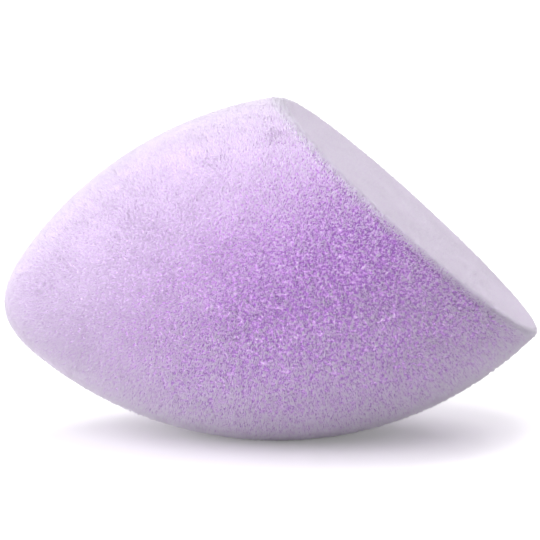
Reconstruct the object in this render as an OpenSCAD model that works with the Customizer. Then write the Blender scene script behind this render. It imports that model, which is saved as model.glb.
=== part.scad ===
// Slant-cut make-up sponge, lying on its belly as it does on a table.
// A moulded foam body, turned about one axis, is cut off at a slant. A thin glue film covers the foam,
// and a short upright pile stands on the film all over, so every coat is the same shape one step out.
// Millimetres, +Z up, nose towards -X. The origin is under the middle of the sponge, at table height.

/* [Body] */
// Widest diameter, over the pile
body_d = 40; // [36:0.5:44]
// Radius of the rounded nose
nose_radius = 6; // [4.5:0.1:8]
// Turn of the nose, from its tip to where the shoulder begins, in degrees
nose_turn = 27; // [20:1:32]
// Radius of the shoulder between the nose and the flank
shoulder_radius = 13.3; // [10:0.1:18]
// Radius of the long flank, from the shoulder to the widest ring
flank_radius = 44; // [40:0.5:56]
// Radius of the heel, from the widest ring to the cut
heel_radius = 42; // [36:0.5:56]

/* [Slanted face] */
// Where the face crosses the axis, from the tip of the nose
cut_at = 52; // [46:0.5:56]
// Slant of the face, from square across the axis, in degrees
cut_angle = 40; // [34:0.5:46]

/* [Coats] */
// Height of the upright pile, which is also the radius of the rolled rim
pile_h = 1; // [0.7:0.05:1.6]
// Thickness of the glue film under the pile
film_t = 0.15; // [0.1:0.01:0.3]

/* [Rest] */
// Rise of the axis towards the cut end, as the sponge lies, in degrees
lean = 8; // [4:0.5:14]
// Depth to which the pile is pressed flat where it lies
foot_depth = 0.5; // [0.2:0.05:0.55]

/* [Smoothness] */
// Facets round the turned body
turned_facets = 96; // [48:4:144]
// Steps of the nose arc
nose_steps = 5; // [3:1:10]
// Steps of the shoulder arc
shoulder_steps = 3; // [2:1:8]
// Steps of the flank arc
flank_steps = 10; // [6:1:20]
// Steps of the heel arc
heel_steps = 9; // [6:1:20]
// Points round the rolled rim
rim_points = 72; // [48:4:96]
// Steps up the rolled rim
rim_steps = 6; // [4:1:10]

/* [Hidden] */

// Past any surface that a cut has to clear
overrun = 5;
// Halvings that find where a slanted line leaves the profile
halvings = 40;

// The four arcs meet tangentially. The turn at a point is its normal's angle from the nose direction.
shoulder_end = asin((flank_radius - body_d / 2 + (nose_radius - shoulder_radius) * sin(nose_turn))
                    / (flank_radius - shoulder_radius));
flank_end = 90;

// Centres of the arcs as [distance behind the tip, radius from the axis]
nose_c = [nose_radius, 0];
shoulder_c = nose_c + (nose_radius - shoulder_radius) * toward(nose_turn);
flank_c = shoulder_c + (shoulder_radius - flank_radius) * toward(shoulder_end);
heel_c = flank_c + (flank_radius - heel_radius) * toward(flank_end);

// Depth of each coat's own surface under the outer one
film_depth = pile_h;
foam_depth = pile_h + film_t;

// The face as [normal, distance from the tip], seen in the plane of symmetry with the axis level
face_normal = [cos(cut_angle), sin(cut_angle)];
face_along = [sin(cut_angle), -cos(cut_angle)];
face_distance = cut_at * cos(cut_angle);

// Rings of the rolled rim between the body pile and the flat of the face
last_turn = 90 * (rim_steps - 1) / rim_steps;
rim_rings = [for (i = [1:rim_steps - 1]) rim_ring(90 * i / rim_steps)];

// The nose is the part furthest back and the rolled rim the part furthest forward
nose_x = nose_radius * cos(lean) - nose_radius;
heel_x = max([for (ring = rim_rings) for (p = ring) p[0] * cos(lean) - p[2] * sin(lean)]);
belly_z = flank_c[0] * sin(lean) - flank_c[1] * cos(lean) - flank_radius;
shift = [-(nose_x + heel_x) / 2, 0, -belly_z - foot_depth];

// Unit vector at a turn, in the plane of the profile
function toward(turn) = [-cos(turn), sin(turn)];

// Point of an arc at a turn, for a skin lying a depth under the surface
function on_arc(centre, radius, turn, depth) = centre + (radius - depth) * toward(turn);

// Height of one arc over the axis at distance s behind the tip
function arc_r(centre, radius, s) = centre[1] + sqrt(max(0, radius ^ 2 - (s - centre[0]) ^ 2));

// Radius of the body, over the pile, at distance s behind the tip
function body_r(s) =
    s < on_arc(nose_c, nose_radius, nose_turn, 0)[0] ? arc_r(nose_c, nose_radius, s)
    : s < on_arc(shoulder_c, shoulder_radius, shoulder_end, 0)[0] ? arc_r(shoulder_c, shoulder_radius, s)
    : s < flank_c[0] ? arc_r(flank_c, flank_radius, s)
    : arc_r(heel_c, heel_radius, s);

// Point of a plane parallel to the face, a distance from the tip, at place u down the slant
function on_plane(distance, u) = distance * face_normal + u * face_along;

// How far inside the body that point lies, in the plane of symmetry
function inside(distance, u) =
    let (p = on_plane(distance, u)) body_r(p[0]) - abs(p[1]);

// Place between an inner and an outer u where the plane leaves the body
function leave(distance, inner, outer, n = halvings) =
    let (mid = (inner + outer) / 2)
    n == 0 ? mid
    : inside(distance, mid) > 0 ? leave(distance, mid, outer, n - 1)
    : leave(distance, inner, mid, n - 1);

// Outline of the body on a plane parallel to the face, drawn in towards its middle by an inset
function section(distance, inset) =
    let (
        u_axis = distance * tan(cut_angle),
        u_top = leave(distance, u_axis, u_axis - body_d),
        u_low = leave(distance, u_axis, u_axis + body_d),
        u_mid = (u_top + u_low) / 2,
        u_half = (u_low - u_top) / 2
    )
    [for (i = [0:rim_points - 1])
        let (
            a = 360 * i / rim_points,
            u = u_mid + u_half * cos(a),
            p = on_plane(distance, u),
            half_width = sqrt(max(0, body_r(p[0]) ^ 2 - p[1] ^ 2)),
            flat_p = [u - u_mid, sin(a) < 0 ? -half_width : half_width],
            drawn_in = flat_p * (1 - inset / norm(flat_p)),
            q = on_plane(distance, u_mid + drawn_in[0])
        )
        [q[0], drawn_in[1], q[1]]];

// Ring of the rim at an angle up its quarter round
function rim_ring(a) = section(face_distance - pile_h * (1 - sin(a)), pile_h * (1 - cos(a)));

// Outline of one arc, without its last point
function arc_points(centre, radius, from, to, steps, depth) =
    [for (i = [0:steps - 1]) on_arc(centre, radius, from + (to - from) * i / steps, depth)];

// Half outline of the whole turned body, from the tip to where the heel arc meets the axis again
function half_outline(depth) =
    let (heel_end = 180 - asin(-heel_c[1] / (heel_radius - depth)))
    concat(
        arc_points(nose_c, nose_radius, 0, nose_turn, nose_steps, depth),
        arc_points(shoulder_c, shoulder_radius, nose_turn, shoulder_end, shoulder_steps, depth),
        arc_points(flank_c, flank_radius, shoulder_end, flank_end, flank_steps, depth),
        arc_points(heel_c, heel_radius, flank_end, heel_end, heel_steps, depth),
        [[on_arc(heel_c, heel_radius, heel_end, depth)[0], 0]]
    );

// Whole body of revolution for a skin at a depth, lying along +X
module turned_body(depth) {
    rotate([0, 90, 0])
        rotate_extrude($fn = turned_facets)
            polygon([for (p = half_outline(depth)) [p[1], p[0]]]);
}

// Everything past the plane that lies a depth under the face
module past_face(depth) {
    translate([cut_at - depth / cos(cut_angle), 0, 0])
        rotate([0, 90 - cut_angle, 0])
            translate([-body_d, -body_d, 0])
                cube(2 * body_d);
}

// Body under one skin, cut off at the slant at the same depth
module coat(depth) {
    difference() {
        turned_body(depth);
        past_face(depth);
    }
}

// Lays what was drawn with its axis level down on the table
module lay() {
    translate(shift)
        rotate([0, -lean, 0])
            children();
}

module foam_core() {
    color("#b89acb")
        lay() coat(foam_depth);
}

module bond_film() {
    color("#9c7fb4")
        lay()
            difference() {
                coat(film_depth);
                coat(foam_depth);
            }
}

module body_pile() {
    color("#aa87be")
        difference() {
            lay() turned_body(0);
            lay() turned_body(film_depth);
            lay() past_face(film_depth);
            translate([-cut_at, -body_d, -overrun])
                cube([2 * cut_at, 2 * body_d, overrun]);
        }
}

// The rim's rings have one more ring under the seat and one past the face, so both are cut as true planes
module face_pile() {
    skirt = section(face_distance - foam_depth, 0);
    past = section(face_distance + pile_h * (1 - sin(last_turn)), pile_h * (1 + cos(last_turn)));
    rings = concat([skirt], rim_rings, [past]);
    points = [for (ring = rings) for (p = ring) p];
    sides = [for (k = [0:len(rings) - 2]) for (i = [0:rim_points - 1])
        let (j = (i + 1) % rim_points, low = k * rim_points, high = low + rim_points)
        [low + i, low + j, high + j, high + i]];
    bottom = [for (i = [0:rim_points - 1]) rim_points - 1 - i];
    top = [for (i = [0:rim_points - 1]) (len(rings) - 1) * rim_points + i];
    color("#d4c7d8")
        lay()
            difference() {
                intersection() {
                    polyhedron(points, concat(sides, [bottom, top]));
                    past_face(film_depth);
                }
                past_face(0);
            }
}

foam_core();
bond_film();
body_pile();
face_pile();
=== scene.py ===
# %% [markdown]
# # A slant-cut make-up sponge with a short pile
# The object is one soft thing to the eye, and four things to its maker: a foam core, a film of glue over
# it, and a short lilac pile that stands on the film, upright on the turned body and upright on the
# slanted face. This lesson builds the parts from the inside out, then spends most of its effort on the
# pile, because the pile is all that anybody sees.
#
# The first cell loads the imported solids, which fix every size. The finish was matched to the photograph.

# %% Load the solids
import math

import bpy
import numpy as np
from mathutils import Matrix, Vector


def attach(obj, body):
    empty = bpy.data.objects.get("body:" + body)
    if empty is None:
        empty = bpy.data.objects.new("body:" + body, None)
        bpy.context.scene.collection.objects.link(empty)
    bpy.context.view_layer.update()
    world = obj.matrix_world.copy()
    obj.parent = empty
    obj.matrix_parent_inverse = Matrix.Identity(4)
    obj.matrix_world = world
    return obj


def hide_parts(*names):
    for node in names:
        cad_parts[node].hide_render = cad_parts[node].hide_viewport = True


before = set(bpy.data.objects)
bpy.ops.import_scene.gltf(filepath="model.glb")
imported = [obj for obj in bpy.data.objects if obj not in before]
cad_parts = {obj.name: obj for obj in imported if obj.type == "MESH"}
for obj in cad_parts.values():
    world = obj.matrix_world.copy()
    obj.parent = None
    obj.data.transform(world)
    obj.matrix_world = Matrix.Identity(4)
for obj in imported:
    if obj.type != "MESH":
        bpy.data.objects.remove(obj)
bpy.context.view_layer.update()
scene = bpy.context.scene
scene.view_settings.view_transform = "Standard"

# %% [markdown]
# ## Where the camera stands
# The photograph looks across the axis of the sponge from a little above the table. How far away it was
# taken is a guess, half a metre. A long lens keeps the near and far edges of the slanted face almost the
# same size. The camera aims at a point inside the sponge, and the lens follows from how wide the picture
# is there.

# %% Camera
RISE = math.radians(11.2)
AWAY = 0.5
PICTURE_WIDTH = 0.06226
AIM = Vector((-0.0001, 0, 0.01934))


def aimed(thing, from_where, at):
    """Puts a lamp or a camera somewhere and points it at a place."""
    thing.location = from_where
    thing.rotation_mode = "QUATERNION"
    thing.rotation_quaternion = (Vector(at) - Vector(from_where)).to_track_quat("-Z", "Y")
    scene.collection.objects.link(thing)
    return thing


lens = bpy.data.cameras.new("camera")
lens.sensor_width = 36
lens.lens = lens.sensor_width * AWAY / PICTURE_WIDTH
lens.clip_start, lens.clip_end = 0.01, 10
back = Vector((0, -math.cos(RISE), math.sin(RISE)))
scene.camera = aimed(bpy.data.objects.new("camera", lens), AIM + back * AWAY, AIM)
print("lens:", round(lens.lens), "mm")

# %% [markdown]
# ## The form of the body
# The sponge was moulded as a body of revolution and then cut at a slant. Its outline is four arcs that
# run into each other without a corner: nose, shoulder, flank and heel. A skin at any depth keeps the
# centres of the arcs and takes the depth off their radii, so one function gives the pile, the film and
# the foam. It could also be drawn as a curve and spun, but the skin has to follow the slanted cut, and
# rings that tilt little by little from the nose to the cut do that with clean four-sided faces.

# %% Outline
NOSE_TURN, SHOULDER_TURN, HEEL_TURN = math.radians(27), math.radians(42.3616), math.radians(148.4)
BODY_D = 40.0
CUT_AT, CUT_ANGLE = 52.0, math.radians(40)
LEAN = math.radians(8)
PILE_H, FILM_T = 1.0, 0.15
# Moves the sponge over the origin and down to the table, in millimetres
SHIFT = np.array([-30.829, 0, 14.8362])
ARCS = (
    ((6.0, 0.0), 6.0, 0.0, NOSE_TURN),
    ((12.5043, -3.31413), 13.3, NOSE_TURN, SHOULDER_TURN),
    ((35.1888, -24.0), 44.0, SHOULDER_TURN, math.pi / 2),
    ((35.1888, -22.0), 42.0, math.pi / 2, HEEL_TURN),
)
# Halvings that find where a tilted plane leaves the skin
HALVINGS = 40


def radius(s, depth):
    """Radius of the skin at a depth, at distances s behind the tip of the nose, in millimetres."""
    r = np.zeros_like(s)
    for (middle, height), arc, start, end in ARCS:
        arc = arc - depth
        here = (s >= middle - arc * math.cos(start)) & (s <= middle - arc * math.cos(end))
        r[here] = height + np.sqrt(np.maximum(arc ** 2 - (s[here] - middle) ** 2, 0))
    return r


def ring(at, tilt, depth, around):
    """Where a tilted plane that crosses the axis at a distance meets the skin, as one closed ring."""
    turn = np.linspace(0, 2 * math.pi, around, endpoint=False)
    low, high = np.zeros(around), np.full(around, BODY_D)
    for _ in range(HALVINGS):
        mid = (low + high) / 2
        outside = radius(at - mid * np.cos(turn) * math.tan(tilt), depth) < mid
        low, high = np.where(outside, low, mid), np.where(outside, mid, high)
    return np.stack([at - low * np.cos(turn) * math.tan(tilt), low * np.sin(turn), low * np.cos(turn)], 1)


def on_table(points):
    """Turns millimetres along the sponge's own axis into metres as it lies on the table."""
    s, y, z = np.asarray(points, float).T
    level, rise = math.cos(LEAN), math.sin(LEAN)
    lying = np.stack([s * level - z * rise, y, s * rise + z * level], 1)
    return (lying + SHIFT) / 1000


print("widest radius:", radius(np.array([ARCS[2][0][0]]), 0.0)[0], "mm")

# %% [markdown]
# ## Skins
# A skin is a list of rings, closed by a point at each end. The rings of the body start square across
# the axis at the nose and end in the plane of the cut. The flat of the face is the last ring, drawn in
# towards its middle step by step. Between them the pile rolls over the edge in a quarter round, one
# pile height in radius.

# %% Rings
def eased(x):
    """Goes from 0 to 1 slowly at first."""
    return x * x * (2 - x)


# Above 1, this sets the rings closer together at the nose
RING_SPREAD = 1.25


def body_rings(depth, until, count, around):
    """Rings from just behind the nose to the plane that lies a depth `until` under the face."""
    last = CUT_AT - until / math.cos(CUT_ANGLE)
    rings = []
    for i in range(1, count + 1):
        share = i / count
        at = depth + (last - depth) * share ** RING_SPREAD
        rings.append(ring(at, CUT_ANGLE * eased(share), depth, around))
    return rings


def drawn_in(points, by):
    """A ring moved towards its own middle by a distance."""
    middle = (points[0] + points[len(points) // 2]) / 2
    out = points - middle
    return middle + out * (1 - by / np.linalg.norm(out, axis=1, keepdims=True))


def rim_rings(count, around):
    """Rings up the quarter round between the body's pile and the flat of the face."""
    rings = []
    for i in range(1, count + 1):
        up = math.pi / 2 * i / count
        at = CUT_AT - PILE_H * (1 - math.sin(up)) / math.cos(CUT_ANGLE)
        rings.append(drawn_in(ring(at, CUT_ANGLE, 0.0, around), PILE_H * (1 - math.cos(up))))
    return rings


def flat_rings(edge, count):
    """Rings from a face's edge in towards its middle, and that middle."""
    middle = (edge[0] + edge[len(edge) // 2]) / 2
    return [middle + (edge - middle) * (1 - i / count) for i in range(1, count)], middle


def skin(name, tip, rings, middle):
    """A closed mesh from the tip over the rings to the middle of the face, on the table."""
    around = len(rings[0])
    points = np.concatenate([[tip], *rings, [middle]])
    here, step = np.arange(around), (np.arange(around) + 1) % around
    faces = [(0, 1 + a, 1 + b) for a, b in zip(here.tolist(), step.tolist())]
    for k in range(len(rings) - 1):
        low, high = 1 + k * around, 1 + (k + 1) * around
        faces += [(low + b, low + a, high + a, high + b) for a, b in zip(here.tolist(), step.tolist())]
    low, end = 1 + (len(rings) - 1) * around, len(points) - 1
    faces += [(low + b, low + a, end) for a, b in zip(here.tolist(), step.tolist())]
    mesh = bpy.data.meshes.new(name)
    mesh.from_pydata(on_table(points).tolist(), [], faces)
    mesh.shade_smooth()
    mesh.update()
    return mesh


# %% Outer skin
AROUND, BODY_RINGS, RIM_RINGS, FLAT_RINGS = 320, 150, 8, 36


def whole_skin(name, around, body_count, rim_count, flat_count):
    """The skin over the tips of the pile, with its rolled rim."""
    rim = rim_rings(rim_count, around)
    flat, middle = flat_rings(rim[-1], flat_count)
    return skin(name, [0.0, 0, 0], body_rings(0.0, PILE_H, body_count, around) + rim + flat, middle)


outer = whole_skin("outer_skin", AROUND, BODY_RINGS, RIM_RINGS, FLAT_RINGS)


def volume(mesh):
    """Volume inside a closed mesh, in cubic centimetres, above zero when its faces point outwards."""
    mesh.calc_loop_triangles()
    corners = np.array([[mesh.vertices[v].co for v in t.vertices] for t in mesh.loop_triangles])
    six_fold = np.einsum("ij,ij->i", corners[:, 0], np.cross(corners[:, 1], corners[:, 2])).sum()
    return float(six_fold / 6) * 1e6


area = sum(p.area for p in outer.polygons) * 1e6
print("outer skin:", len(outer.polygons), "faces,", round(area), "mm2,", round(volume(outer), 2), "cm3")

# %% [markdown]
# ## Materials, and one way to write them
# A material is a small tree of nodes. One function adds a node with its settings and its links, another
# turns a colour from a paint card, written as hex, into the linear light that the nodes work in.

# %% Node helpers
def add(tree, kind, inputs=None, **settings):
    """Adds a node. inputs gives each socket, by name or number, a value or another node's output."""
    node = tree.nodes.new(kind)
    for name, value in settings.items():
        setattr(node, name, value)
    for name, value in (inputs or {}).items():
        if isinstance(value, bpy.types.NodeSocket):
            tree.links.new(value, node.inputs[name])
        else:
            node.inputs[name].default_value = value
    return node


def linear(code):
    """A hex colour as linear red, green, blue and a full alpha."""
    parts = [int(code[i:i + 2], 16) / 255 for i in (1, 3, 5)]
    return tuple(c / 12.92 if c <= 0.04045 else ((c + 0.055) / 1.055) ** 2.4 for c in parts) + (1.0,)


def ramp(tree, value, stops):
    """Turns a number from 0 to 1 into a colour, by stops of (place, hex colour)."""
    node = add(tree, "ShaderNodeValToRGB", {"Fac": value})
    while len(node.color_ramp.elements) < len(stops):
        node.color_ramp.elements.new(0.5)
    for element, (place, code) in zip(node.color_ramp.elements, stops):
        element.position, element.color = place, linear(code)
    return node.outputs["Color"]


def material(name, inputs):
    """A material of one Principled shader with constant values in its own sockets."""
    made = bpy.data.materials.new(name)
    made.use_nodes = True
    shader = made.node_tree.nodes["Principled BSDF"]
    for socket, value in inputs.items():
        shader.inputs[socket].default_value = value
    return made, made.node_tree, shader


def per_mm(size_mm):
    """Scale of a noise or cell pattern whose features are this many millimetres across."""
    return 1000 / size_mm


# %% [markdown]
# ## Foam core
# The core is polyurethane foam, foamed in a mould: open cells a third of a millimetre across, matt and
# soft. It fills the film, so it is a closed skin one step further in, with the same rings.

# %% Foam core
foam, tree, shader = material("open_cell_polyurethane_foam", {"IOR": 1.5, "Specular IOR Level": 0.2})
where = add(tree, "ShaderNodeTexCoord").outputs["Object"]
cells = add(tree, "ShaderNodeTexVoronoi", {"Vector": where, "Scale": per_mm(0.35)},
            feature="DISTANCE_TO_EDGE")
walls = add(tree, "ShaderNodeMapRange", {"Value": cells.outputs["Distance"], "From Max": 0.25})
# Darker towards the middle of each cell, where the bump dents it: painted shade in the open pores.
tree.links.new(ramp(tree, walls.outputs[0], [(0, "#c9aedb"), (0.5, "#b491cb"), (1, "#8f6aa8")]),
               shader.inputs["Base Color"])
rough = add(tree, "ShaderNodeMapRange", {"Value": walls.outputs[0], "To Min": 0.75, "To Max": 0.95})
tree.links.new(rough.outputs[0], shader.inputs["Roughness"])
dents = add(tree, "ShaderNodeBump", {"Height": walls.outputs[0], "Strength": 0.6, "Distance": 0.0001},
            invert=True)
tree.links.new(dents.outputs[0], shader.inputs["Normal"])


def piece(name, mesh, finish, slot, *nodes):
    """Makes a mesh one piece of the sponge, which stands for CAD nodes and wears a finish."""
    made = bpy.data.objects.new(name, mesh)
    scene.collection.objects.link(made)
    if finish:
        mesh.materials.clear()
        mesh.materials.append(finish)
    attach(made, "root")
    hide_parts(*nodes)
    print(name, len(mesh.polygons), "faces")
    return made


CORE_AROUND, CORE_RINGS, CORE_FLAT = 160, 70, 18


def cut_skin(name, depth):
    """A closed skin at a depth, with a sharp edge where it is cut."""
    rings = body_rings(depth, depth, CORE_RINGS, CORE_AROUND)
    flat, middle = flat_rings(rings[-1], CORE_FLAT)
    return skin(name, [depth, 0, 0], rings + flat, middle)


core = piece("foam_core_cells", cut_skin("foam_core_cells", PILE_H + FILM_T), foam, "foam", "foam_core")

# %% [markdown]
# ## Glue film
# Before the pile is shot on, the foam is sprayed with a water-based acrylic glue, which dries to a thin
# elastic film. It is a closed shell: the skin at the pile's roots outside, the foam's skin inside.

# %% Glue film
glue, tree, shader = material("dried_acrylic_glue", {"IOR": 1.48, "Specular IOR Level": 0.5})
where = add(tree, "ShaderNodeTexCoord").outputs["Object"]
flow = add(tree, "ShaderNodeTexNoise", {"Vector": where, "Scale": per_mm(0.8), "Detail": 3.0})
tree.links.new(ramp(tree, flow.outputs["Fac"], [(0.3, "#8a63a6"), (0.7, "#a583bd")]),
               shader.inputs["Base Color"])
rough = add(tree, "ShaderNodeMapRange", {"Value": flow.outputs["Fac"], "To Min": 0.35, "To Max": 0.6})
tree.links.new(rough.outputs[0], shader.inputs["Roughness"])
dents = add(tree, "ShaderNodeBump", {"Height": flow.outputs["Fac"], "Strength": 0.4, "Distance": 0.0001})
tree.links.new(dents.outputs[0], shader.inputs["Normal"])
outside, inside = cut_skin("glue_film_coat", PILE_H), cut_skin("inner", PILE_H + FILM_T)
inside.flip_normals()


def joined(name, *meshes):
    """One mesh of several, each closed by itself."""
    points, faces = [], []
    for mesh in meshes:
        start = len(points)
        points += [v.co[:] for v in mesh.vertices]
        faces += [[start + v for v in p.vertices] for p in mesh.polygons]
    made = bpy.data.meshes.new(name)
    made.from_pydata(points, [], faces)
    made.shade_smooth()
    return made


film = piece("glue_film_coat", joined("glue_film_coat", outside, inside), glue, "glue_film", "bond_film")
print("film volume:", round(volume(film.data), 3), "cm3")

# %% [markdown]
# ## Pile bed
# Between its fibres a dense pile is a solid mass, deeper in colour because less light gets down there. The
# bed is that mass: a closed wall from just above the film to half the pile's height, a little uneven. It
# comes in two pieces, as the pile does, one on the turned body and one on the face with its rim.
#
# The photograph shows the pile pale and smooth above the nose, and deep and open below towards the heel. One
# picture can't tell whether that is the pile or the light. Here the nap changes along one direction in the
# sponge itself, so it stays in its place when the camera moves. Where it is open, the fibres stand in tufts of
# uneven height. Its colours are painted light and shade: above the nose, where the lamps fall full, the bed is
# painted paler and the tones even; towards the heel, where the light grazes, the bed is deeper and the tones
# mottled. The face keeps an even nap.

# %% Bed
# Depths under the tips, in millimetres, and the seat as a share of the pile's height
BED_DEPTH, BED_UNEVEN, BED_UNEVEN_SIZE, BED_SEAT = 0.5, 0.02, 2.0, 0.96
# Middle of the bed's tones, from deep to pale, where the nap is open and where it is smooth; the pale one is
# painted light
BED_TONE, BED_PAINTED_LIGHT_TONE = 0.6, 0.78
# The way in which the nap opens and painted light gives way to painted shade, and the places along it, in
# metres, where that starts and ends
NAP_AND_PAINTED_LIGHT_WAY, NAP_AND_PAINTED_LIGHT_FROM, NAP_AND_PAINTED_LIGHT_TO = (0.7, 0, -0.7), -0.031, -0.009
# How strong tufts and the spread of tones are at each end, and all over the face: even tones at the smooth end
# are painted light, a wide spread at the open end painted shade
SMOOTH_NAP_PAINTED_LIGHT, OPEN_NAP_PAINTED_SHADE, FACE_NAP = 0.1, 1.4, 0.6
BED_AROUND, BED_RINGS, BED_RIM, BED_FLAT = 200, 96, 5, 20
base = whole_skin("bed_base", BED_AROUND, BED_RINGS, BED_RIM, BED_FLAT)
normals = np.array([v.normal for v in base.vertices])
places = np.array([v.co for v in base.vertices])


def waves(points, size_mm, seed, kinds=9):
    """A smooth random height between about -1 and 1, with features of a size."""
    rng = np.random.default_rng(seed)
    total = np.zeros(len(points))
    for _ in range(kinds):
        way = rng.normal(size=3)
        way /= np.linalg.norm(way)
        rate = 2 * math.pi * 1000 / size_mm / rng.uniform(0.8, 1.6)
        total += np.sin(points @ way * rate + rng.uniform(0, 7))
    return total / math.sqrt(kinds / 2) / 2


uneven = BED_UNEVEN * waves(places, BED_UNEVEN_SIZE, 1)
top = places - normals * (BED_DEPTH + uneven)[:, None] / 1000
seat = places - normals * BED_SEAT * PILE_H / 1000
top[:, 2] = np.maximum(top[:, 2], 0)
last_body = 1 + BED_RINGS * BED_AROUND


def wall(name, chosen):
    """A closed wall between the bed's top and its seat over some of the outer skin's faces."""
    used = np.unique([v for p in chosen for v in p])
    number = {int(v): i for i, v in enumerate(used)}
    count = len(used)
    up = [[number[v] for v in p] for p in chosen]
    down = [[count + v for v in reversed(p)] for p in up]
    edges = {(p[i - 1], p[i]) for p in up for i in range(len(p))}
    sides = [(a, count + a, count + b, b) for a, b in edges if (b, a) not in edges]
    mesh = bpy.data.meshes.new(name)
    mesh.from_pydata(np.concatenate([top[used], seat[used]]).tolist(), [], up + down + sides)
    mesh.shade_smooth()
    return mesh


faces = [list(p.vertices) for p in base.polygons]
on_body = [p for p in faces if max(p) < last_body]
on_face = [p for p in faces if max(p) >= last_body]


def along_nap_and_painted_light(tree, where, smooth, open_end):
    """A number that goes from one value to another in the way in which the nap opens, from the smooth nap and
    painted light above the nose to the open nap and painted shade towards the heel.
    """
    along = add(tree, "ShaderNodeVectorMath", {0: where, 1: NAP_AND_PAINTED_LIGHT_WAY}, operation="DOT_PRODUCT")
    return add(tree, "ShaderNodeMapRange", {
        "Value": along.outputs["Value"], "From Min": NAP_AND_PAINTED_LIGHT_FROM, "From Max": NAP_AND_PAINTED_LIGHT_TO,
        "To Min": smooth, "To Max": open_end}, interpolation_type="SMOOTHSTEP").outputs[0]


def flock_mass(name, smooth, open_nap, painted_light_tone):
    """The finish of a bed: its mottle grows from a smooth nap's to an open nap's, and its tone is painted
    light where the nap is smooth and painted shade where it is open.
    """
    flock, tree, shader = material(name, {
        "IOR": 1.53, "Specular IOR Level": 0.5, "Coat Weight": 0.5, "Coat Roughness": 0.5, "Coat IOR": 1.9,
        "Sheen Weight": 0.3, "Sheen Roughness": 0.7, "Sheen Tint": linear("#f7f0fc")})
    where = add(tree, "ShaderNodeTexCoord").outputs["Object"]
    tufts = add(tree, "ShaderNodeTexNoise", {"Vector": where, "Scale": per_mm(0.3), "Detail": 1.0})
    off = add(tree, "ShaderNodeMath", {0: tufts.outputs["Fac"], 1: BED_TONE}, operation="SUBTRACT").outputs[0]
    shade = add(tree, "ShaderNodeMath", {
        0: off, 1: along_nap_and_painted_light(tree, where, smooth, open_nap),
        2: along_nap_and_painted_light(tree, where, painted_light_tone, BED_TONE)}, operation="MULTIPLY_ADD").outputs[0]
    tree.links.new(ramp(tree, shade, [(0.38, "#8c3eb2"), (0.64, "#cc90e6"), (0.8, "#ecd4fa")]),
                   shader.inputs["Base Color"])
    rough = add(tree, "ShaderNodeMapRange", {"Value": tufts.outputs["Fac"], "To Min": 0.6, "To Max": 0.8})
    tree.links.new(rough.outputs[0], shader.inputs["Roughness"])
    dents = add(tree, "ShaderNodeBump", {"Height": tufts.outputs["Fac"], "Strength": 0.8, "Distance": 0.0003})
    tree.links.new(dents.outputs[0], shader.inputs["Normal"])
    return flock


for name, chosen, node, nap_and_painted_light in (
    ("body_pile_bed", on_body, "body_pile", (SMOOTH_NAP_PAINTED_LIGHT, OPEN_NAP_PAINTED_SHADE, BED_PAINTED_LIGHT_TONE)),
    ("face_pile_bed", on_face, "face_pile", (FACE_NAP, FACE_NAP, BED_TONE)),
):
    bed = piece(name, wall(name, chosen), flock_mass("nylon_flock_in_" + name, *nap_and_painted_light), node, node)
    print(name, "volume:", round(volume(bed.data), 3), "cm3")

# %% [markdown]
# ## One fibre
# A flock fibre is a cut of nylon, here taken as a millimetre long, about a fiftieth of a millimetre thick,
# and perhaps a million to a sponge. Each drawn fibre stands for two or three: a closed, slender spike with
# three sides, a quarter of a millimetre wide at its foot and tapered to a point. That is far coarser than
# a real one. From this far away the eye sees the tufts.
#
# The IOR is nylon's own. The coat and the sheen are stronger than plain nylon's. They stand in for light
# scattered between fibres too fine to draw, and were matched to the photograph.

# %% Fibre material
fibre, tree, shader = material(
    "nylon_flock_dye_painted_shade_and_sheen", {"IOR": 1.53, "Specular IOR Level": 0.5, "Roughness": 0.6, "Coat Weight": 1.0,
                         "Coat Roughness": 0.6, "Coat IOR": 2.1, "Sheen Weight": 1.0,
                         "Sheen Roughness": 0.62, "Sheen Tint": linear("#f7f0fc")})
on_fibre = add(tree, "ShaderNodeSeparateXYZ", {0: add(tree, "ShaderNodeUVMap", uv_map="OFBake").outputs[0]})
# Up each fibre the colour is painted: deeper at the root as painted shade in the depth of the pile, near white
# at the tip as painted sheen. Across, the fibre's tone picks between a paler and a deeper ramp.
pale = ramp(tree, on_fibre.outputs[1],
            [(0, "#c68ee0"), (0.4, "#daaaf0"), (0.62, "#e7d0fa"), (0.84, "#f3f0ff")])
deep = ramp(tree, on_fibre.outputs[1],
            [(0, "#9c4ebc"), (0.4, "#b466d4"), (0.62, "#cc8ee6"), (0.84, "#e8c6f6")])
tone = add(tree, "ShaderNodeMix", {"Factor": on_fibre.outputs[0], 6: pale, 7: deep}, data_type="RGBA")
tree.links.new(tone.outputs[2], shader.inputs["Base Color"])
rough = add(tree, "ShaderNodeMapRange", {"Value": on_fibre.outputs[1], "To Min": 0.7, "To Max": 0.5})
tree.links.new(rough.outputs[0], shader.inputs["Roughness"])

# %% [markdown]
# ## The pile, by Geometry Nodes
# The tree scatters points over one zone of the outer skin, steps from each down to the film, and stands a
# fibre there. Starting from the outer skin keeps the tips evenly spread, also where the pile fans out over the
# rim. Noise leans the fibres together in tufts. Those between tufts are shorter, and painted deeper in colour
# as shade in the hollows between tufts; that makes the grain of the pile, and a random turn keeps neighbours
# apart. A zone number lets one tree and one skin serve every piece of the pile.

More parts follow.
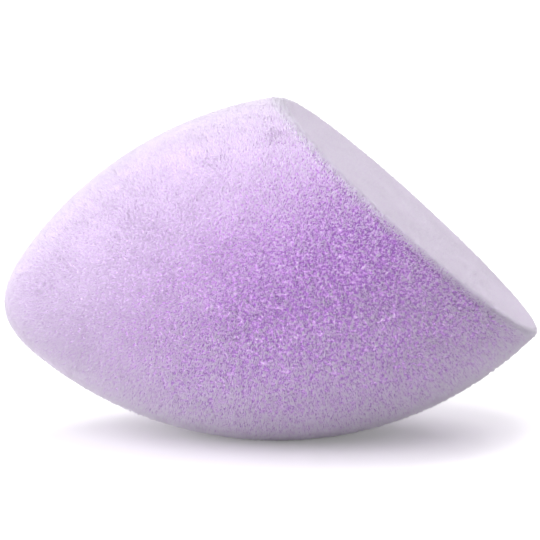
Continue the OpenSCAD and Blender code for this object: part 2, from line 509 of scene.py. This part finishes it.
# %% Pile tree
pile = bpy.data.node_groups.new("pile", "GeometryNodeTree")
for name, kind, value in (
    ("Skin", "NodeSocketGeometry", None),
    ("Zone", "NodeSocketInt", 0),
    ("Fibres per mm2", "NodeSocketFloat", 66.0),
    ("Fibre height mm", "NodeSocketFloat", PILE_H),
    ("Fibre width mm", "NodeSocketFloat", 0.255),
    ("Tuft size mm", "NodeSocketFloat", 0.38),
    ("Tuft lean", "NodeSocketFloat", 0.6),
    ("Tuft shading", "NodeSocketFloat", 0.3),
    ("Brushed size mm", "NodeSocketFloat", 5.0),
    ("Brushed lean", "NodeSocketFloat", 0.3),
    ("Stray lean", "NodeSocketFloat", 0.15),
    ("Uneven height", "NodeSocketFloat", 0.3),
    ("Own shading", "NodeSocketFloat", 0.15),
    ("Smooth nap, painted light", "NodeSocketFloat", SMOOTH_NAP_PAINTED_LIGHT),
    ("Open nap, painted shade", "NodeSocketFloat", OPEN_NAP_PAINTED_SHADE),
    ("Middle tone", "NodeSocketFloat", 0.45),
    ("Edge painted light", "NodeSocketFloat", 0.0),
    ("Seed", "NodeSocketInt", 7),
    ("Material", "NodeSocketMaterial", None),
):
    socket = pile.interface.new_socket(name, in_out="INPUT", socket_type=kind)
    if value is not None:
        socket.default_value = value
pile.interface.new_socket("Pile", in_out="OUTPUT", socket_type="NodeSocketGeometry")
given = add(pile, "NodeGroupInput").outputs


def maths(operation, *values):
    """One sum on numbers in the pile's tree."""
    return add(pile, "ShaderNodeMath", dict(enumerate(values)), operation=operation).outputs[0]


def vectors(operation, *values, scale=None):
    """One sum on vectors in the pile's tree."""
    inputs = dict(enumerate(values))
    if scale is not None:
        inputs["Scale"] = scale
    return add(pile, "ShaderNodeVectorMath", inputs, operation=operation).outputs[0]


def noise(size, detail=1.0):
    """Noise over the skin with features of a size in millimetres: a number and a vector around zero."""
    node = add(pile, "ShaderNodeTexNoise", {
        "Vector": add(pile, "GeometryNodeInputPosition").outputs[0],
        "Scale": maths("DIVIDE", 1000.0, size), "Detail": detail})
    return node.outputs[0], vectors("SUBTRACT", node.outputs[1], (0.5, 0.5, 0.5))


zone = add(pile, "GeometryNodeInputNamedAttribute", {"Name": "zone"}, data_type="INT").outputs[0]
chosen = add(pile, "FunctionNodeCompare", {2: zone, 3: given["Zone"]}, data_type="INT", operation="EQUAL")
tuft, tuft_way = noise(given["Tuft size mm"])
clump = add(pile, "ShaderNodeMapRange", {"Value": tuft, "From Min": 0.35, "From Max": 0.65}).outputs[0]
# How open the nap is: it sets the tufts, and the spread of tones, evened out as painted light towards the nose
# and widened as painted shade towards the heel.
nap = along_nap_and_painted_light(pile, add(pile, "GeometryNodeInputPosition").outputs[0],
                given["Smooth nap, painted light"], given["Open nap, painted shade"])
tuft_way = vectors("SCALE", tuft_way, scale=nap)
spread = add(pile, "GeometryNodeDistributePointsOnFaces", {
    "Mesh": given["Skin"], "Selection": chosen.outputs[0],
    "Density": maths("MULTIPLY", given["Fibres per mm2"], 1e6), "Seed": given["Seed"]})
normal = spread.outputs["Normal"]
_, brushed_way = noise(given["Brushed size mm"])
stray = add(pile, "FunctionNodeRandomValue", {0: (-1, -1, -1), 1: (1, 1, 1), "Seed": given["Seed"]},
            data_type="FLOAT_VECTOR").outputs[0]
way = vectors("NORMALIZE", vectors(
    "ADD", vectors("ADD", normal, vectors("SCALE", tuft_way, scale=given["Tuft lean"])),
    vectors("ADD", vectors("SCALE", brushed_way, scale=given["Brushed lean"]),
            vectors("SCALE", stray, scale=given["Stray lean"]))))
chance = add(pile, "FunctionNodeRandomValue", {2: 0.0, 3: 1.0, "Seed": maths("ADD", given["Seed"], 1)},
             data_type="FLOAT").outputs[1]

# A fibre between tufts is shorter, and deeper in tone as painted shade in the hollows between tufts, the more
# so the more open the nap is. Tone also differs at random. Where the nap is smooth the tones are evened out,
# which is painted light.
TUFTS_IN_HEIGHT, TUFTS_IN_TONE = 0.85, 0.65
between = maths("SUBTRACT", 1.0, clump)


def mixed(tufts):
    """Chance and the place between tufts, as one number, with a share of the second."""
    return maths("ADD", maths("MULTIPLY", chance, 1 - tufts), maths("MULTIPLY", between, tufts))


shorter = maths("MULTIPLY", maths("MULTIPLY", given["Uneven height"], nap), mixed(TUFTS_IN_HEIGHT))
height = maths("MULTIPLY", maths("DIVIDE", given["Fibre height mm"], 1000.0), maths("SUBTRACT", 1.0, shorter))
middle = given["Middle tone"]
tone = add(pile, "ShaderNodeMath", {0: maths("SUBTRACT", mixed(TUFTS_IN_TONE), middle), 1: nap, 2: middle},
           operation="MULTIPLY_ADD", use_clamp=True).outputs[0]
# Over the rim the tones are pulled towards the pale ramp: painted light shining through the fibres that stand
# apart over the edge.
tone = maths("MULTIPLY", tone, maths("SUBTRACT", 1.0, given["Edge painted light"]))

# Store what a fibre has to remember, then step down to the film.
kept = spread.outputs["Points"]
shaded = vectors("ADD", normal, vectors("SCALE", tuft_way, scale=given["Tuft shading"]))
for name, kind, value in (("way", "FLOAT_VECTOR", way), ("tall", "FLOAT", height), ("turn", "FLOAT", chance),
                          ("skin", "FLOAT_VECTOR", shaded), ("tone", "FLOAT", tone)):
    kept = add(pile, "GeometryNodeStoreNamedAttribute", {"Geometry": kept, "Name": name, "Value": value},
               data_type=kind, domain="POINT").outputs[0]
kept = add(pile, "GeometryNodeSetPosition", {"Geometry": kept, "Offset": vectors(
    "SCALE", normal, scale=maths("DIVIDE", given["Fibre height mm"], -1000.0))}).outputs[0]

# One spike, a unit high and wide, which knows how far up each of its corners is.
spike = add(pile, "GeometryNodeMeshCone", {
    "Vertices": 3, "Side Segments": 1, "Fill Segments": 1,
    "Radius Top": 0.0, "Radius Bottom": 0.5, "Depth": 1.0}, fill_type="NGON")
place = add(pile, "ShaderNodeSeparateXYZ", {0: add(pile, "GeometryNodeInputPosition").outputs[0]}).outputs
spike = add(pile, "GeometryNodeSetShadeSmooth", {"Geometry": spike.outputs["Mesh"]}).outputs[0]
spike = add(pile, "GeometryNodeStoreNamedAttribute", {"Geometry": spike, "Name": "up", "Value": place[2]},
            data_type="FLOAT", domain="POINT").outputs[0]
spike = add(pile, "GeometryNodeStoreNamedAttribute", {"Geometry": spike, "Name": "side", "Value": place[1]},
            data_type="FLOAT", domain="POINT").outputs[0]


def remembered(name, kind="FLOAT"):
    """What was stored under a name."""
    return add(pile, "GeometryNodeInputNamedAttribute", {"Name": name}, data_type=kind).outputs[0]


# The most that a fibre is turned about itself, in radians
SPIN = 40.0
stand = add(pile, "FunctionNodeAlignRotationToVector", {"Vector": remembered("way", "FLOAT_VECTOR")}, axis="Z")
spin = add(pile, "FunctionNodeRotateRotation", {
    "Rotation": stand.outputs[0], "Rotate By": add(pile, "ShaderNodeCombineXYZ", {
        "Z": maths("MULTIPLY", remembered("turn"), SPIN)}).outputs[0]}, rotation_space="LOCAL")
wide = maths("DIVIDE", given["Fibre width mm"], 1000.0)
grown = add(pile, "GeometryNodeInstanceOnPoints", {
    "Points": kept, "Instance": spike, "Rotation": spin.outputs[0],
    "Scale": add(pile, "ShaderNodeCombineXYZ", {"X": wide, "Y": wide, "Z": remembered("tall")}).outputs[0]})
real = add(pile, "GeometryNodeRealizeInstances", {"Geometry": grown.outputs[0]}).outputs[0]

# The table presses the tips flat.
spot = add(pile, "ShaderNodeSeparateXYZ", {0: add(pile, "GeometryNodeInputPosition").outputs[0]}).outputs
pressed = add(pile, "ShaderNodeCombineXYZ", {"X": spot[0], "Y": spot[1], "Z": maths("MAXIMUM", spot[2], 0.0)})
real = add(pile, "GeometryNodeSetPosition", {"Geometry": real, "Position": pressed.outputs[0]}).outputs[0]

# The map that the finish reads: across by tone, up by height, and a little apart for each side of a fibre.
TONE_FROM, TONE_SPAN, UP_FROM, UP_SPAN, SIDE_SPAN = 0.04, 0.92, 0.02, 0.93, 0.03
aside = maths("MULTIPLY", remembered("side"), SIDE_SPAN)
chart = add(pile, "ShaderNodeCombineXYZ", {
    "X": maths("ADD", maths("ADD", TONE_FROM, maths("MULTIPLY", remembered("tone"), TONE_SPAN)), aside),
    "Y": maths("ADD", maths("ADD", UP_FROM, maths("MULTIPLY", remembered("up"), UP_SPAN)), aside)}).outputs[0]
real = add(pile, "GeometryNodeStoreNamedAttribute", {"Geometry": real, "Name": "OFBake", "Value": chart},
           data_type="FLOAT2", domain="CORNER").outputs[0]
own = add(pile, "GeometryNodeInputNormal").outputs[0]
lit = vectors("NORMALIZE", vectors(
    "ADD", remembered("skin", "FLOAT_VECTOR"), vectors("SCALE", own, scale=given["Own shading"])))
real = add(pile, "GeometryNodeSetMeshNormal", {"Mesh": real, "Custom Normal": lit},
           mode="FREE", domain="POINT").outputs[0]
for name in ("way", "tall", "turn", "tone", "up", "side", "skin"):
    real = add(pile, "GeometryNodeRemoveAttribute", {"Geometry": real, "Name": name}).outputs[0]
real = add(pile, "GeometryNodeSetMaterial", {"Geometry": real, "Material": given["Material"]}).outputs[0]
add(pile, "NodeGroupOutput", {"Pile": real})
print("pile tree:", len(pile.nodes), "nodes")

# %% [markdown]
# ## Zones
# The pile is cut into pieces of fewer than fifty thousand fibres, by where a maker would point: the
# nose, four quarters of the flank and of the heel, the rim, and two halves of the flat of the face.

# %% Zones of the outer skin
# Shares of the turned body's area where the nose and the flank end
NOSE_END, FLANK_END = 0.12, 0.6
# How far under the axis the lower pieces start, in millimetres
LOWER_FROM = 2.5
# Numbers of the first flank, heel, rim and face zones
FLANK, HEEL, RIM, FACE = 1, 5, 9, 10
corners = [list(p.vertices) for p in outer.polygons]
places = np.array([v.co for v in outer.vertices])
middles = np.array([places[p].mean(0) for p in corners])
areas = np.array([p.area for p in outer.polygons]) * 1e6
ring_of = (np.array([max(p) for p in corners]) - 1) // AROUND
on_turned = ring_of < BODY_RINGS
grown_area = np.cumsum(np.bincount(ring_of[on_turned], areas[on_turned]))
share = grown_area[np.minimum(ring_of, BODY_RINGS - 1)] / grown_area[-1]
behind = middles[:, 1] > 0
under = middles[:, 2] < (SHIFT[2] - LOWER_FROM) / 1000 + (middles[:, 0] - SHIFT[0] / 1000) * math.tan(LEAN)
quarter = behind * 2 + under
NAMES = ["pile_of_nose"]
NAMES += ["pile_of_%s_%s_%s" % (which, part, side) for part in ("flank", "heel")
          for side in ("front", "back") for which in ("upper", "lower")]
NAMES += ["pile_of_rim", "pile_of_face_front", "pile_of_face_back"]
zones = np.where(share < NOSE_END, 0, np.where(share < FLANK_END, FLANK, HEEL) + quarter).astype(np.int32)
zones[~on_turned] = np.where(ring_of[~on_turned] < BODY_RINGS + RIM_RINGS, RIM, FACE + behind[~on_turned])
outer.attributes.new("zone", "INT", "FACE").data.foreach_set("value", zones)
for i, name in enumerate(NAMES):
    print(name, round(areas[zones == i].sum()), "mm2")

# %% Grow the pile
sockets = {item.name: item.identifier for item in pile.interface.items_tree if item.in_out == "INPUT"}
field = bpy.data.objects.new("field", outer)
scene.collection.objects.link(field)


def grow(name, zone_number, slot, node, **sizes):
    """Runs the tree on one zone and keeps the result as a plain mesh."""
    grower = field.modifiers.new("pile", "NODES")
    grower.node_group = pile
    grower[sockets["Zone"]] = zone_number
    grower[sockets["Seed"]] = 100 + zone_number
    grower[sockets["Material"]] = fibre
    for key, value in sizes.items():
        grower[sockets[key]] = value
    grown = bpy.data.meshes.new_from_object(field.evaluated_get(bpy.context.evaluated_depsgraph_get()))
    field.modifiers.remove(grower)
    grown.name = name
    made = piece(name, grown, None, slot, node)
    return made


for i, name in enumerate(NAMES):
    part = "face_pile" if i >= RIM else "body_pile"
    sizes = {"Smooth nap, painted light": FACE_NAP, "Open nap, painted shade": FACE_NAP} if i >= RIM else {}
    # The rim's fibres lean more, and are painted paler as light shining through them.
    if i == RIM:
        sizes.update({"Stray lean": 0.45, "Edge painted light": 0.8})
    grow(name, i, part, part, **sizes)
bpy.data.objects.remove(field)

# %% [markdown]
# ## Floor, sky and lamps
# The photograph has a white background and soft light, mostly from the upper left. Large area lamps give
# soft light: the key and a low lamp from the left, one over the top and one behind. The floor is a white
# sheet. What the camera sees of it is lifted to a full white, and only what the camera sees, so that the
# sponge gets no light from it that a real sheet wouldn't give, and its shadow stays. The sky is white to
# the camera and through glass. Other rays, glossy ones too, meet it at its plain level.

# %% Floor
sheet, tree, shader = material("white_card", {"Roughness": 0.9, "Specular IOR Level": 0.1})
where = add(tree, "ShaderNodeTexCoord").outputs["Object"]
grain = add(tree, "ShaderNodeTexNoise", {"Vector": where, "Scale": per_mm(3), "Detail": 4.0})
tree.links.new(ramp(tree, grain.outputs["Fac"], [(0, "#f8f8f8"), (1, "#fafafa")]), shader.inputs["Base Color"])
LIFT = 0.22
seen = add(tree, "ShaderNodeLightPath")
lift = add(tree, "ShaderNodeEmission", {"Color": (1, 1, 1, 1), "Strength": add(tree, "ShaderNodeMath", {
    0: seen.outputs["Is Camera Ray"], 1: LIFT}, operation="MULTIPLY").outputs[0]})
both = add(tree, "ShaderNodeAddShader", {0: shader.outputs[0], 1: lift.outputs[0]})
tree.links.new(both.outputs[0], tree.nodes["Material Output"].inputs["Surface"])
FLOOR_HALF = 3.0
card = bpy.data.meshes.new("floor")
card.from_pydata([(x * FLOOR_HALF, y * FLOOR_HALF, 0) for x, y in ((-1, -1), (1, -1), (1, 1), (-1, 1))],
                 [], [(0, 1, 2, 3)])
card.materials.append(sheet)
floor = bpy.data.objects.new("floor", card)
scene.collection.objects.link(floor)

# %% Sky
SKY = 0.45
sky = bpy.data.worlds.new("white_room")
scene.world = sky
sky.use_nodes = True
tree = sky.node_tree
seen = add(tree, "ShaderNodeLightPath")
white = add(tree, "ShaderNodeMath", {0: seen.outputs["Is Camera Ray"], 1: seen.outputs["Is Transmission Ray"]},
            operation="MAXIMUM")
strength = add(tree, "ShaderNodeMapRange", {"Value": white.outputs[0], "To Min": SKY, "To Max": 1.0})
tree.links.new(strength.outputs[0], tree.nodes["Background"].inputs["Strength"])
tree.nodes["Background"].inputs["Color"].default_value = (1, 1, 1, 1)

# %% Lamps
# Each lamp's side in metres, its power in watts and its place
for name, size, power, spot in (
    ("key_lamp", 1.0, 6.9, (-0.55, -0.55, 0.62)),
    ("top_lamp", 0.5, 3.3, (-0.05, 0, 0.93)),
    ("back_lamp", 0.5, 2.6, (0.3, 0.4, 0.7)),
    ("low_lamp", 0.8, 4.9, (-0.85, -0.5, 0.12)),
):
    lamp = bpy.data.lights.new(name, "AREA")
    lamp.shape, lamp.size, lamp.energy = "SQUARE", size, power
    aimed(bpy.data.objects.new(name, lamp), spot, AIM)
